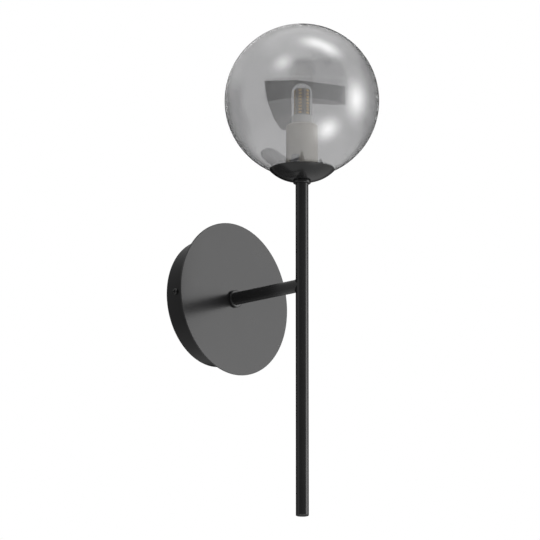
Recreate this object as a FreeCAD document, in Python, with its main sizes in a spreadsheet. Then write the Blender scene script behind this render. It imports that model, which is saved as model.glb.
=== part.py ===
import FreeCAD, Part
import math
import os
import re
import Sketcher
from FreeCAD import Placement, Rotation, Vector

# Globe wall sconce: a round canopy on a wall bracket, a wider front disc, one arm,
# a long vertical stem and a glass globe that stands on a dish round a G9 lamp.
# Origin: centre of the wall plane on the arm's axis. +Z is up, the wall is the
# plane y = 0 and the fixture stands out towards -Y. All sizes are millimetres.

doc = FreeCAD.newDocument("GlobeWallSconce")

# ---------------------------------------------------------------- driving sizes
SIZES = {
    # wall bracket, pressed from steel strip
    "bracket_thickness": 1.5,
    "bracket_height": 26.0,
    "bracket_end_gap": 0.8,
    "wall_screw_spacing": 56.0,
    "wall_slot_length": 12.0,
    "wall_slot_width": 4.6,
    "cable_hole_diameter": 20.0,
    "ear_width": 12.0,
    "ear_reach": 16.0,
    "block_tab_width": 33.0,
    "block_tab_top": 38.0,
    "earth_tab_width": 12.0,
    "earth_tab_bottom": 26.0,
    # canopy, front disc and the two screws in the canopy's side
    "canopy_diameter": 100.0,
    "canopy_depth": 24.0,
    "canopy_wall": 1.0,
    "canopy_edge_round": 0.8,
    "disc_diameter": 120.0,
    "disc_thickness": 1.2,
    "disc_edge_round": 0.35,
    "tube_hole_clearance": 0.2,
    "side_screw_height": 10.0,
    "side_screw_diameter": 3.0,
    "side_screw_length": 8.0,
    "side_head_diameter": 5.0,
    "side_head_height": 1.6,
    "side_head_round": 1.1,
    "side_recess_width": 0.7,
    "side_recess_span": 2.8,
    "side_recess_depth": 0.9,
    # arm and stem tube, with the collars, washers and nuts on them
    "tube_diameter": 10.0,
    "tube_wall": 1.0,
    "arm_end_depth": 16.0,
    "stem_offset": 72.0,
    "stem_drop": 181.0,
    "wire_hole_diameter": 7.0,
    "plug_depth": 3.0,
    "tube_end_chamfer": 0.4,
    "weld_leg": 1.8,
    "weld_sink": 0.45,
    "weld_bury": 0.03,
    "collar_diameter": 13.6,
    "collar_thickness": 2.4,
    "collar_round": 0.6,
    "bush_clearance": 0.05,
    "touch_gap": 0.05,
    "washer_diameter": 18.0,
    "washer_thickness": 0.8,
    "stem_washer_diameter": 14.0,
    "nut_across_flats": 14.0,
    "nut_thickness": 3.0,
    # dish, spring clip and gasket that hold the globe
    "dish_height": 82.8,
    "dish_depth": 8.8,
    "dish_diameter": 50.8,
    "dish_flat_diameter": 16.0,
    "dish_curve": 29.0,
    "dish_wall": 0.6,
    "clip_thickness": 0.5,
    "clip_hub_diameter": 15.6,
    "clip_root": 2.0,
    "clip_bend_inset": 0.8,
    "clip_rise": 1.7,
    "clip_heel": 0.8,
    "clip_mouth_gap": 2.6,
    "clip_neck_drop": 0.6,
    "clip_hook_reach": 0.3,
    "clip_hook_low": 2.6,
    "clip_hook_back": 0.2,
    "clip_hook_high": 4.2,
    "clip_tip_inset": 2.8,
    "clip_tip_rise": 10.5,
    "clip_leaf_width": 6.0,
    "clip_leaf_angle": 203.0,
    "gasket_section": 1.2,
    # globe
    "globe_diameter": 120.0,
    "globe_wall": 1.8,
    "globe_seat_gap": 0.25,
    "mouth_diameter": 34.0,
    # ceramic lampholder
    "holder_diameter": 24.6,
    "holder_length": 38.9,
    "holder_edge": 1.0,
    "holder_nut_gap": 0.4,
    "holder_cavity_diameter": 14.8,
    "holder_recess_diameter": 22.6,
    "holder_slot_length": 15.0,
    "holder_slot_width": 6.5,
    "holder_slot_depth": 12.5,
    "holder_web": 4.5,
    "pin_hole_diameter": 3.0,
    "plate_thickness": 1.2,
    "plate_clearance": 0.1,
    "stem_past_plate": 1.2,
    "holder_screw_circle": 18.4,
    "holder_screw_diameter": 2.0,
    "holder_screw_length": 8.0,
    "holder_screw_short": 0.3,
    "holder_head_diameter": 3.8,
    "holder_head_height": 1.2,
    "contact_length": 10.0,
    "contact_thickness": 0.5,
    "contact_width": 1.6,
    # G9 lamp
    "lamp_gap": 0.2,
    "lamp_diameter": 16.1,
    "lamp_base_height": 6.6,
    "lamp_base_inset": 0.2,
    "lamp_base_bevel": 0.5,
    "lamp_bevel_rise": 0.8,
    "lamp_spigot_height": 0.8,
    "lamp_cover_height": 26.6,
    "lamp_cover_wall": 0.8,
    "lamp_tongue_length": 14.4,
    "lamp_tongue_width": 6.0,
    "lamp_tongue_depth": 12.0,
    "pin_spacing": 9.0,
    "pin_diameter": 1.2,
    "pin_length": 12.0,
    "board_width": 11.2,
    "board_height": 20.6,
    "board_wall": 1.0,
    "chip_width": 2.4,
    "chip_height": 1.5,
    "chip_thickness": 0.5,
    "chip_pitch": 2.5,
    # terminal block and earth point behind the canopy
    "block_length": 30.0,
    "block_depth": 12.5,
    "block_height": 17.0,
    "block_bottom": 18.5,
    "pole_pitch": 10.0,
    "sleeve_diameter": 4.9,
    "sleeve_bore": 3.2,
    "sleeve_length": 15.0,
    "sleeve_clearance": 0.1,
    "pole_screw_diameter": 2.6,
    "pole_screw_offset": 4.5,
    "pole_screw_recess": 0.8,
    "pole_well_gap": 0.4,
    "driver_slot": 0.5,
    "earth_x": -10.0,
    "earth_z": -20.0,
    "earth_screw_diameter": 4.0,
    "earth_head_diameter": 7.6,
    "earth_head_height": 2.4,
    "tag_thickness": 0.8,
    "tag_width": 9.0,
    "tag_barrel_diameter": 3.2,
    "tag_barrel_length": 4.0,
    "tag_barrel_rise": 5.0,
    # insulated leads
    "lead_diameter": 1.8,
    "lead_pitch": 2.4,
    "lead_bend_radius": 5.0,
    "lead_end_depth": 3.0,
    "lead_drop": 4.0,
    "earth_lead_drop": 14.0,
    "tag_lead_straight": 4.0,
    "tag_lead_depth": 2.0,
}
LEAF_COUNT = 3
CHIP_ROWS = 8
HEX_SIDES = 6

# ------------------------------------------------- places worked out from sizes
# Distances named "_out" run from the wall along the arm, all others are heights.
PLACES = {
    "tube_radius": "tube_diameter / 2",
    "tube_bore": "tube_diameter / 2 - tube_wall",
    "tube_hole": "tube_diameter / 2 + tube_hole_clearance",
    "bush_bore": "tube_diameter / 2 + bush_clearance",
    "canopy_inside": "canopy_diameter / 2 - canopy_wall",
    "bracket_reach": "canopy_inside - bracket_end_gap",
    "disc_face_out": "canopy_depth + disc_thickness",
    "stem_out": "disc_face_out + stem_offset",
    "canopy_front_inside_out": "canopy_depth - canopy_wall",
    "dish_inside": "dish_height + dish_wall",
    "dish_rim": "dish_height + dish_depth",
    "clip_top": "dish_inside + clip_thickness",
    "stem_washer_top": "clip_top + washer_thickness",
    "stem_nut_top": "stem_washer_top + nut_thickness",
    "holder_bottom": "stem_nut_top + holder_nut_gap",
    "plate_bottom": "holder_bottom + holder_head_height",
    "plate_top": "plate_bottom + plate_thickness",
    "stem_top": "plate_top + stem_past_plate",
    "holder_top": "holder_bottom + holder_length",
    "slot_floor": "holder_top - holder_slot_depth",
    "web_bottom": "slot_floor - holder_web",
    "contact_foot": "web_bottom - contact_length",
    "globe_radius": "globe_diameter / 2",
    "dish_chord": "sqrt((dish_diameter / 2 - dish_flat_diameter / 2)^2 + dish_depth^2)",
    "dish_apothem": "sqrt(dish_curve^2 - dish_chord^2 / 4)",
    "curve_radius": "(dish_diameter + dish_flat_diameter) / 4 - dish_apothem * dish_depth / dish_chord",
    "curve_height": "dish_height + dish_depth / 2 "
                    "+ dish_apothem * (dish_diameter - dish_flat_diameter) / 2 / dish_chord",
    "rim_inside": "curve_radius + sqrt((dish_curve - dish_wall)^2 - (curve_height - dish_rim)^2)",
    "flat_inside": "curve_radius + sqrt((dish_curve - dish_wall)^2 - (curve_height - dish_inside)^2)",
    "globe_centre": "dish_rim + sqrt((globe_radius + globe_seat_gap)^2 - rim_inside^2)",
    "lip_radius": "globe_wall / 2 + touch_gap",
    "lip_circle": "mouth_diameter / 2 + lip_radius",
    "lip_height": "globe_centre - sqrt((globe_radius - globe_wall / 2)^2 - lip_circle^2)",
    "gasket_radius": "gasket_section / 2",
    "gasket_to_dish": "dish_curve - dish_wall - gasket_radius - touch_gap",
    "gasket_to_globe": "globe_radius + gasket_radius + touch_gap",
    "centre_rise": "globe_centre - curve_height",
    "centre_gap": "sqrt(curve_radius^2 + centre_rise^2)",
    "gasket_along": "(gasket_to_dish^2 - gasket_to_globe^2 + centre_gap^2) / (2 * centre_gap)",
    "gasket_aside": "sqrt(gasket_to_dish^2 - gasket_along^2)",
    "gasket_circle": "curve_radius + (gasket_aside * centre_rise - gasket_along * curve_radius) / centre_gap",
    "gasket_height": "curve_height + (gasket_along * centre_rise + gasket_aside * curve_radius) / centre_gap",
    "lamp_bottom": "holder_top + lamp_gap",
    "lamp_shoulder": "lamp_bottom + lamp_base_height",
    "board_foot": "lamp_shoulder + lamp_spigot_height",
    "tongue_foot": "holder_top - lamp_tongue_depth",
    "pin_foot": "tongue_foot - pin_length",
    "block_centre_out": "bracket_thickness + block_depth / 2",
    "block_front_out": "bracket_thickness + block_depth",
    "block_centre": "block_bottom + block_height / 2",
    "lead_side": "lead_pitch / 2",
    "barrel_out": "bracket_thickness + tag_barrel_diameter / 2 + 2 * touch_gap",
}

sizes = doc.addObject("Spreadsheet::Sheet", "Sizes")
places = doc.addObject("Spreadsheet::Sheet", "Places")


def linked(formula):
    """A formula over bare size names, with each name pointed at its sheet."""
    def point(match):
        word = match.group(0)
        if word in SIZES:
            return "Sizes." + word
        if word in PLACES:
            return "Places." + word
        return word
    return re.sub(r"[A-Za-z_]\w*", point, formula)


def fill_sheets():
    """Driving sizes go in one sheet as plain numbers, places in the other as formulas."""
    for row, (name, number) in enumerate(SIZES.items(), start=1):
        sizes.set(f"A{row}", name)
        sizes.set(f"B{row}", str(number))
        sizes.setAlias(f"B{row}", name)
    doc.recompute()
    for row, (name, formula) in enumerate(PLACES.items(), start=1):
        places.set(f"A{row}", name)
        places.set(f"B{row}", "=" + linked(formula))
        places.setAlias(f"B{row}", name)
    doc.recompute()


def number(formula):
    """The value of a formula over size names, in millimetres."""
    result = sizes.evalExpression(linked(formula))
    return float(getattr(result, "Value", result))


fill_sheets()

TOWARDS = {
    "up": Rotation(),
    "out": Rotation(Vector(1, 0, 0), 90),
    "right": Rotation(Vector(0, 1, 0), 90),
    "left": Rotation(Vector(0, 1, 0), -90),
}
NODES = []


def bind(thing, properties):
    for name, formula in properties.items():
        thing.setExpression(name, linked(formula))


def place(thing, at, towards="up"):
    """Puts a thing at three formulas, with its own Z turned the named way."""
    thing.Placement = Placement(Vector(), TOWARDS[towards])
    for axis, formula in zip("xyz", at):
        thing.setExpression("Placement.Base." + axis, linked(formula))


def rod(name, radius, length, at=("0", "0", "0"), towards="up"):
    thing = doc.addObject("Part::Cylinder", name)
    bind(thing, {"Radius": radius, "Height": length})
    place(thing, at, towards)
    return thing


def block(name, size, at):
    """A box of three formulas, from its lowest corner."""
    thing = doc.addObject("Part::Box", name)
    bind(thing, dict(zip(("Length", "Width", "Height"), size)))
    place(thing, at)
    return thing


def hexagon(name, across_flats, height, at, towards="up"):
    thing = doc.addObject("Part::Prism", name)
    thing.Polygon = HEX_SIDES
    bind(thing, {"Circumradius": f"({across_flats}) / sqrt(3)", "Height": height})
    place(thing, at, towards)
    return thing


def fuse(name, things):
    thing = doc.addObject("Part::MultiFuse", name)
    thing.Shapes = things
    return thing


def cut(name, base, tools):
    thing = doc.addObject("Part::Cut", name)
    thing.Base = base
    thing.Tool = tools[0] if len(tools) == 1 else fuse(name + "_openings", tools)
    return thing


def group(name, things):
    """Several separate solids kept in one sub-part."""
    thing = doc.addObject("Part::Compound", name)
    thing.Links = things
    return thing


def free_form(name, shape, at=(0, 0, 0)):
    thing = doc.addObject("Part::Feature", name)
    thing.Shape = shape
    thing.Placement = Placement(Vector(*at), Rotation())
    return thing


def sub_part(thing, label):
    thing.Label = label
    NODES.append(thing)
    return thing


def turned(name, outline, at=("0", "0", "0"), towards="up"):
    """A turned body: a closed outline of (radius, height) formulas, spun about its Z."""
    body = doc.addObject("PartDesign::Body", name)
    sketch = body.newObject("Sketcher::SketchObject", name + "_outline")
    plane = next(item for item in body.Origin.OriginFeatures if item.Role == "XZ_Plane")
    sketch.AttachmentSupport = (plane, "")
    sketch.MapMode = "FlatFace"
    corners = [Vector(number(radius), number(height), 0) for radius, height in outline]
    count = len(corners)
    for index in range(count):
        sketch.addGeometry(Part.LineSegment(corners[index], corners[(index + 1) % count]))
    for index in range(count):
        sketch.addConstraint(Sketcher.Constraint("Coincident", index, 2, (index + 1) % count, 1))
    for index, (formulas, corner) in enumerate(zip(outline, corners)):
        for kind, formula, start in zip(("DistanceX", "DistanceY"), formulas, (corner.x, corner.y)):
            datum = sketch.addConstraint(Sketcher.Constraint(kind, -1, 1, index, 1, start))
            sketch.setExpression(f"Constraints[{datum}]", linked(formula))
    spin = body.newObject("PartDesign::Revolution", name + "_spin")
    spin.Profile = sketch
    spin.ReferenceAxis = (sketch, ["V_Axis"])
    spin.Angle = 360
    place(body, at, towards)
    doc.recompute()
    return body


def round_edges(body, radius, rings):
    """Rounds a turned body's circular edges, each given as (radius, height) formulas."""
    base = body.Tip
    wanted = [(number(ring), number(height)) for ring, height in rings]
    names = []
    for index, edge in enumerate(base.Shape.Edges, start=1):
        if not isinstance(edge.Curve, Part.Circle):
            continue
        found = (edge.Curve.Radius, edge.Curve.Center.z)
        if any(math.dist(found, ring) < 1e-4 for ring in wanted):
            names.append(f"Edge{index}")
    fillet = body.newObject("PartDesign::Fillet", body.Name + "_round")
    fillet.Base = (base, names)
    bind(fillet, {"Radius": radius})
    body.Tip = fillet
    doc.recompute()
    return body


def ring(name, outer, bore, bottom, top, at=("0", "0", "0"), towards="up"):
    outline = [(bore, bottom), (outer, bottom), (outer, top), (bore, top)]
    return turned(name, outline, at, towards)


STEM = ("0", "-stem_out", "0")


# ------------------------------------------------------------------ wall bracket
def make_wall_bracket():
    """Pressed strip with two slots, a cable hole, two ears and tabs for the wiring."""
    back = "-bracket_thickness"
    strap = block("strap_blank", ("2 * bracket_reach", "bracket_thickness", "bracket_height"),
                  ("-bracket_reach", back, "-bracket_height / 2"))
    round_plate = rod("strap_round", "bracket_reach", "bracket_thickness", towards="out")
    trimmed = doc.addObject("Part::Common", "strap_trimmed")
    trimmed.Base = strap
    trimmed.Tool = round_plate
    block_tab = block("block_tab", ("block_tab_width", "bracket_thickness", "block_tab_top"),
                      ("-block_tab_width / 2", back, "0"))
    earth_tab = block("earth_tab", ("earth_tab_width", "bracket_thickness", "earth_tab_bottom"),
                      ("earth_x - earth_tab_width / 2", back, "-earth_tab_bottom"))
    ears = []
    for side, corner in (("left", "-bracket_reach"), ("right", "bracket_reach - bracket_thickness")):
        ears.append(block(side + "_ear", ("bracket_thickness", "ear_reach", "ear_width"),
                          (corner, "-ear_reach", "-ear_width / 2")))
    openings = [rod("cable_hole", "cable_hole_diameter / 2", "bracket_thickness", towards="out"),
                rod("ear_threads", "side_screw_diameter / 2 + bush_clearance", "2 * bracket_reach",
                    ("-bracket_reach", "-side_screw_height", "0"), "right"),
                rod("block_thread", "side_screw_diameter / 2 + bush_clearance", "bracket_thickness",
                    ("pole_pitch / 2", "0", "block_centre"), "out"),
                rod("earth_thread", "earth_screw_diameter / 2 + bush_clearance", "bracket_thickness",
                    ("earth_x", "0", "earth_z"), "out")]
    straight = "(wall_slot_length - wall_slot_width)"
    for side, sign in (("left", "-"), ("right", "")):
        centre = f"{sign}wall_screw_spacing / 2"
        openings.append(block(side + "_slot", (straight, "bracket_thickness", "wall_slot_width"),
                              (f"{centre} - {straight} / 2", back, "-wall_slot_width / 2")))
        for end, shift in (("inner", "-"), ("outer", "+")):
            openings.append(rod(f"{side}_slot_{end}", "wall_slot_width / 2", "bracket_thickness",
                                (f"{centre} {shift} {straight} / 2", "0", "0"), "out"))
    plate = fuse("bracket_plate", [trimmed, block_tab, earth_tab] + ears)
    sub_part(cut("bracket", plate, openings), "wall_bracket")


# ------------------------------------------------------------------------ wiring
def make_terminal_block():
    """Three-pole block: insulating body, brass sleeves and two screws for each pole."""
    bottom, front = "block_bottom", "-block_front_out"
    body = block("block_body", ("block_length", "block_depth", "block_height"),
                 ("-block_length / 2", front, bottom))
    openings = [rod("block_fixing_hole", "side_screw_diameter / 2 + bush_clearance", "block_depth",
                    ("pole_pitch / 2", "-bracket_thickness", "block_centre"), "out")]
    sleeves = []
    screws = []
    screw_reach = "(block_depth / 2 - sleeve_bore / 2 - bush_clearance - pole_screw_recess)"
    for pole in (-1, 0, 1):
        across = f"{pole} * pole_pitch"
        name = {-1: "earth", 0: "neutral", 1: "live"}[pole]
        openings.append(rod(name + "_way", "sleeve_diameter / 2 + sleeve_clearance", "block_height",
                            (across, "-block_centre_out", bottom)))
        tube = rod(name + "_sleeve", "sleeve_diameter / 2", "sleeve_length",
                   (across, "-block_centre_out", "block_centre - sleeve_length / 2"))
        bore = rod(name + "_bore", "sleeve_bore / 2", "sleeve_length",
                   (across, "-block_centre_out", "block_centre - sleeve_length / 2"))
        threads = []
        for level, sign in (("lower", "-"), ("upper", "+")):
            height = f"block_centre {sign} pole_screw_offset"
            openings.append(rod(f"{name}_{level}_well", "pole_screw_diameter / 2 + pole_well_gap",
                                "block_depth / 2", (across, "-block_centre_out", height), "out"))
            threads.append(rod(f"{name}_{level}_thread", "pole_screw_diameter / 2 + bush_clearance",
                               "sleeve_diameter / 2", (across, "-block_centre_out", height), "out"))
            shank = rod(f"{name}_{level}_shank", "pole_screw_diameter / 2", screw_reach,
                        (across, "-block_centre_out - sleeve_bore / 2 - bush_clearance", height), "out")
            slot = block(f"{name}_{level}_driver", ("pole_screw_diameter", "driver_slot", "driver_slot"),
                         (f"{across} - pole_screw_diameter / 2", "-block_front_out + pole_screw_recess",
                          f"{height} - driver_slot / 2"))
            screws.append(cut(f"{name}_{level}_screw", shank, [slot]))
        sleeves.append(cut(name + "_sleeve_drilled", tube, [bore] + threads))
    sub_part(cut("block", body, openings), "terminal_block")
    sub_part(group("sleeves", sleeves), "terminal_sleeves")
    sub_part(group("pole_screws", screws), "terminal_screws")
    head = rod("fixing_head", "side_head_diameter / 2", "side_head_height",
               ("pole_pitch / 2", front, "block_centre"), "out")
    shank = rod("fixing_shank", "side_screw_diameter / 2", "block_front_out - 2 * touch_gap",
                ("pole_pitch / 2", "-2 * touch_gap", "block_centre"), "out")
    slot = block("fixing_driver", ("side_head_diameter", "driver_slot", "driver_slot"),
                 ("pole_pitch / 2 - side_head_diameter / 2", "-block_front_out - side_head_height",
                  "block_centre - driver_slot / 2"))
    sub_part(cut("fixing_screw", fuse("fixing_blank", [head, shank]), [slot]), "terminal_fixing_screw")


def make_earth_point():
    """Screw in the lower tab, and a crimped ring tag under its head."""
    spot = ("earth_x", "-bracket_thickness", "earth_z")
    ring_blank = rod("tag_ring", "tag_width / 2", "tag_thickness", spot, "out")
    neck = block("tag_neck", ("tag_barrel_diameter", "tag_thickness", "tag_barrel_rise + tag_barrel_length"),
                 ("earth_x - tag_barrel_diameter / 2", "-bracket_thickness - tag_thickness", "earth_z"))
    barrel = rod("tag_barrel", "tag_barrel_diameter / 2", "tag_barrel_length",
                 ("earth_x", "-barrel_out", "earth_z + tag_barrel_rise"))
    hole = rod("tag_hole", "earth_screw_diameter / 2 + bush_clearance", "tag_thickness", spot, "out")
    socket = rod("tag_socket", "lead_diameter / 2 + bush_clearance", "tag_barrel_length",
                 ("earth_x", "-barrel_out", "earth_z + tag_barrel_rise"))
    tag = cut("tag", fuse("tag_blank", [ring_blank, neck, barrel]), [hole, socket])
    sub_part(tag, "earth_tag")
    head = rod("earth_head", "earth_head_diameter / 2", "earth_head_height",
               ("earth_x", "-bracket_thickness - tag_thickness", "earth_z"), "out")
    shank = rod("earth_shank", "earth_screw_diameter / 2",
                "bracket_thickness + tag_thickness - 2 * touch_gap",
                ("earth_x", "-2 * touch_gap", "earth_z"), "out")
    slot = block("earth_driver", ("earth_head_diameter", "driver_slot * 2", "driver_slot * 2"),
                 ("earth_x - earth_head_diameter / 2",
                  "-bracket_thickness - tag_thickness - earth_head_height", "earth_z - driver_slot"))
    sub_part(cut("earth_bolt", fuse("earth_blank", [head, shank]), [slot]), "earth_screw")


def swept_lead(name, points):
    """A round lead on straight runs joined by tangent arcs, through chosen points."""
    radius = number("lead_bend_radius")
    corners = [Vector(*point) for point in points]
    edges = []
    start = corners[0]
    for before, corner, after in zip(corners, corners[1:], corners[2:]):
        arrive = (corner - before).normalize()
        leave = (after - corner).normalize()
        turn = arrive.getAngle(leave)
        reach = radius * math.tan(turn / 2)
        bend_in = corner - arrive * reach
        bend_out = corner + leave * reach
        inward = (leave - arrive).normalize()
        middle = corner + inward * (radius / math.cos(turn / 2) - radius)
        edges.append(Part.LineSegment(start, bend_in).toShape())
        edges.append(Part.Arc(bend_in, middle, bend_out).toShape())
        start = bend_out
    edges.append(Part.LineSegment(start, corners[-1]).toShape())
    route = Part.Wire(edges)
    thickness = number("lead_diameter / 2")
    section = Part.Wire([Part.makeCircle(thickness, corners[0], corners[1] - corners[0])])
    shape = route.makePipeShell([section], True, False)
    share = shape.Volume / (math.pi * thickness ** 2 * route.Length)
    print(f"{name}: bends {radius} mm, length {route.Length:.1f} mm, volume {share:.4f} of section")
    sub_part(free_form(name, shape), name)


def make_leads():
    """Live and neutral run through arm and stem to the lampholder; earth stays behind the canopy."""
    pole_end = number("block_centre - sleeve_length / 2 + lead_end_depth")
    out = -number("block_centre_out")
    turn_height = number("block_bottom - 2 * lead_diameter - lead_drop")
    side, pitch = number("lead_side"), number("pole_pitch")
    stem_y, foot = -number("stem_out"), number("contact_foot")
    routes = {"live_lead": (pitch, side), "neutral_lead": (0, -side)}
    for name, (pole_x, tube_x) in routes.items():
        swept_lead(name, [(pole_x, out, pole_end), (pole_x, out, turn_height), (tube_x, out, 0),
                          (tube_x, stem_y, 0), (tube_x, stem_y, foot)])
    earth_x, barrel_y = number("earth_x"), -number("barrel_out")
    barrel_top = "earth_z + tag_barrel_rise + tag_barrel_length"
    swept_lead("earth_lead", [(-pitch, out, pole_end),
                              (-pitch, out, number(barrel_top + " + earth_lead_drop")),
                              (earth_x, barrel_y, number(barrel_top + " + tag_lead_straight")),
                              (earth_x, barrel_y, number(barrel_top + " - tag_lead_depth"))])


# ------------------------------------------------------------- canopy and disc
def make_canopy():
    """Spun cup over the bracket, with a tube hole in front and a screw hole each side."""
    rim, inside = "canopy_diameter / 2", "canopy_inside"
    cup = turned("canopy_cup", [("tube_hole", "canopy_depth"), ("tube_hole", "canopy_front_inside_out"),
                                (inside, "canopy_front_inside_out"), (inside, "0"), (rim, "0"),
                                (rim, "canopy_depth")], towards="out")
    round_edges(cup, "canopy_edge_round", [(rim, "canopy_depth")])
    holes = rod("side_holes", "side_screw_diameter / 2 + tube_hole_clearance", "canopy_diameter",
                ("-canopy_diameter / 2", "-side_screw_height", "0"), "right")
    sub_part(cut("canopy_shell", cup, [holes]), "canopy")


def make_canopy_screws():
    """Two domed screws with a cross recess, one in each side of the canopy."""
    screws = []
    for side, sign, towards in (("left", "-", "left"), ("right", "", "right")):
        face = f"{sign}canopy_diameter / 2"
        seat = (face, "-side_screw_height", "0")
        head = rod(side + "_head", "side_head_diameter / 2", "side_head_height", seat, towards)
        doc.recompute()
        dome = doc.addObject("Part::Fillet", side + "_dome")
        dome.Base = head
        crown = number("canopy_diameter / 2 + side_head_height")
        rim = [index for index, edge in enumerate(head.Shape.Edges, start=1)
               if isinstance(edge.Curve, Part.Circle)
               and abs(abs(edge.Curve.Center.x) - crown) < 1e-4]
        dome.Edges = [(rim[0], number("side_head_round"), number("side_head_round"))]
        tip = "canopy_diameter / 2 - side_screw_length"
        shank = rod(side + "_shank", "side_screw_diameter / 2", "side_screw_length",
                    (f"{sign}({tip})", "-side_screw_height", "0"), towards)
        floor = f"{sign}(canopy_diameter / 2 + side_head_height - side_recess_depth)"
        corner = floor if sign == "" else floor + " - side_recess_depth"
        bars = []
        for name, wide, tall in (("flat", "side_recess_span", "side_recess_width"),
                                 ("tall", "side_recess_width", "side_recess_span")):
            bars.append(block(f"{side}_{name}_bar", ("side_recess_depth", wide, tall),
                              (corner, f"-side_screw_height - {wide} / 2", f"-{tall} / 2")))
        screws.append(cut(side + "_screw", fuse(side + "_screw_blank", [dome, shank]), bars))
    sub_part(group("side_screws", screws), "canopy_screws")


def make_front_disc():
    disc = ring("disc", "disc_diameter / 2", "tube_hole", "canopy_depth", "disc_face_out", towards="out")
    round_edges(disc, "disc_edge_round", [("disc_diameter / 2", "canopy_depth"),
                                          ("disc_diameter / 2", "disc_face_out")])
    sub_part(disc, "front_disc")


# ------------------------------------------------------------------ arm and stem
def make_collar(name, bottom, at, towards):
    """Turned collar that covers the hole a tube passes through."""
    top = f"{bottom} + collar_thickness"
    collar = ring(name, "collar_diameter / 2", "bush_bore", bottom, top, at, towards)
    round_edges(collar, "collar_round", [("collar_diameter / 2", bottom), ("collar_diameter / 2", top)])
    sub_part(collar, name)


def make_washer_and_nut(washer_name, nut_name, washer_size, washer_start, at, towards, grow):
    """A flat washer and a hexagon nut on a tube; grow is + or - along the tube."""
    ends = {"+": (washer_start, f"{washer_start} + washer_thickness"),
            "-": (f"{washer_start} - washer_thickness", washer_start)}[grow]
    washer = ring(washer_name, f"{washer_size} / 2", "bush_bore", ends[0], ends[1], at, towards)
    sub_part(washer, washer_name)
    start = ends[1] if grow == "+" else f"{ends[0]} - nut_thickness"
    along = {"up": (at[0], at[1], start), "out": (at[0], f"-({start})", at[2])}[towards]
    body = hexagon(nut_name + "_blank", "nut_across_flats", "nut_thickness", along, towards)
    bore = rod(nut_name + "_bore", "bush_bore", "nut_thickness", along, towards)
    sub_part(cut(nut_name + "_threaded", body, [bore]), nut_name)


def make_arm_tube():
    """Tube from inside the canopy to the stem, its end shaped to the stem's surface."""
    length = "stem_out - arm_end_depth"
    start = ("0", "-arm_end_depth", "0")
    saddle = rod("arm_saddle", "tube_radius", "tube_diameter * 2", ("0", "-stem_out", "-tube_diameter"))
    arm = cut("arm", rod("arm_outside", "tube_radius", length, start, "out"),
              [rod("arm_bore", "tube_bore", length, start, "out"), saddle])
    sub_part(arm, "arm_tube")


def make_stem_tube():
    """One straight tube, with the hole where the leads come in from the arm."""
    bottom, length = "-stem_drop", "stem_drop + stem_top"
    outline = [("tube_bore", bottom), ("tube_radius - tube_end_chamfer", bottom),
               ("tube_radius", "tube_end_chamfer - stem_drop"), ("tube_radius", "stem_top"),
               ("tube_bore", "stem_top")]
    tube = turned("stem_blank", outline, STEM)
    wire_hole = rod("wire_hole", "wire_hole_diameter / 2", "tube_diameter / 2",
                    ("0", "-stem_out + tube_diameter / 2", "0"), "out")
    sub_part(cut("stem", tube, [wire_hole]), "stem_tube")
    plug = rod("end_plug", "tube_bore", "plug_depth", ("0", "-stem_out", bottom))
    sub_part(plug, "stem_end_plug")


def make_arm_weld():
    """Fillet of braze above and below the arm, fading out towards the tubes' sides."""
    radius, leg = number("tube_radius"), number("weld_leg")
    stem_y, reach = -number("stem_out"), number("stem_offset")
    sink, bury = number("weld_sink"), number("weld_bury")
    half_turns = [math.radians(angle) for angle in (-66, -44, -22, 0, 22, 44, 66)]
    arm = Part.makeCylinder(radius, reach, Vector(0, stem_y + reach, 0), Vector(0, -1, 0))
    stem = Part.makeCylinder(radius, 4 * radius, Vector(0, stem_y, -2 * radius))
    beads = []
    for side in (1, -1):
        sections = []
        for turn in half_turns:
            x, corner = radius * math.sin(turn), radius * math.cos(turn) - bury
            size = leg * math.cos(turn)
            crown = size * (1 - math.cos(math.pi / 4))

            def spot(out, rise):
                return Vector(x, stem_y + corner + out, side * (corner + rise))

            toe, heel = spot(size, 0), spot(0, size)
            low_toe, root, low_heel = spot(size, -sink), spot(-sink, -sink), spot(-sink, size)
            edges = [Part.Arc(toe, spot(crown, crown), heel).toShape()]
            for first, second in ((heel, low_heel), (low_heel, root), (root, low_toe), (low_toe, toe)):
                edges.append(Part.LineSegment(first, second).toShape())
            sections.append(Part.Wire(edges))
        bead = Part.makeLoft(sections, True, False).cut(arm).cut(stem)
        beads.append(max(bead.Solids, key=lambda solid: solid.Volume))
    sub_part(free_form("weld", Part.makeCompound(beads)), "arm_weld")


# ---------------------------------------------------- dish, clip, gasket, globe
def make_dish():
    """Spun dish: flat bottom, then a wall on one arc up to a plain rim."""
    flat, flat_inside = number("dish_flat_diameter / 2"), number("flat_inside")
    rim_radius, rim_inside, rim = number("dish_diameter / 2"), number("rim_inside"), number("dish_rim")
    bottom, inside, bore = number("dish_height"), number("dish_inside"), number("bush_bore")
    centre = Vector(number("curve_radius"), 0, number("curve_height"))

    def spot(radius, height):
        return Vector(radius, 0, height)

    def line(first, second):
        return Part.LineSegment(first, second).toShape()

    def wall_arc(low, high, curve):
        halfway = ((low - centre).normalize() + (high - centre).normalize()).normalize()
        return Part.Arc(low, centre + halfway * curve, high).toShape()

    curve = number("dish_curve")
    outline = Part.Wire([
        line(spot(bore, bottom), spot(flat, bottom)),
        wall_arc(spot(flat, bottom), spot(rim_radius, rim), curve),
        line(spot(rim_radius, rim), spot(rim_inside, rim)),
        wall_arc(spot(rim_inside, rim), spot(flat_inside, inside), curve - number("dish_wall")),
        line(spot(flat_inside, inside), spot(bore, inside)),
        line(spot(bore, inside), spot(bore, bottom))])
    shape = Part.Face(outline).revolve(Vector(), Vector(0, 0, 1), 360)
    sub_part(free_form("dish_shell", shape, (0, -number("stem_out"), 0)), "dish")


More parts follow.
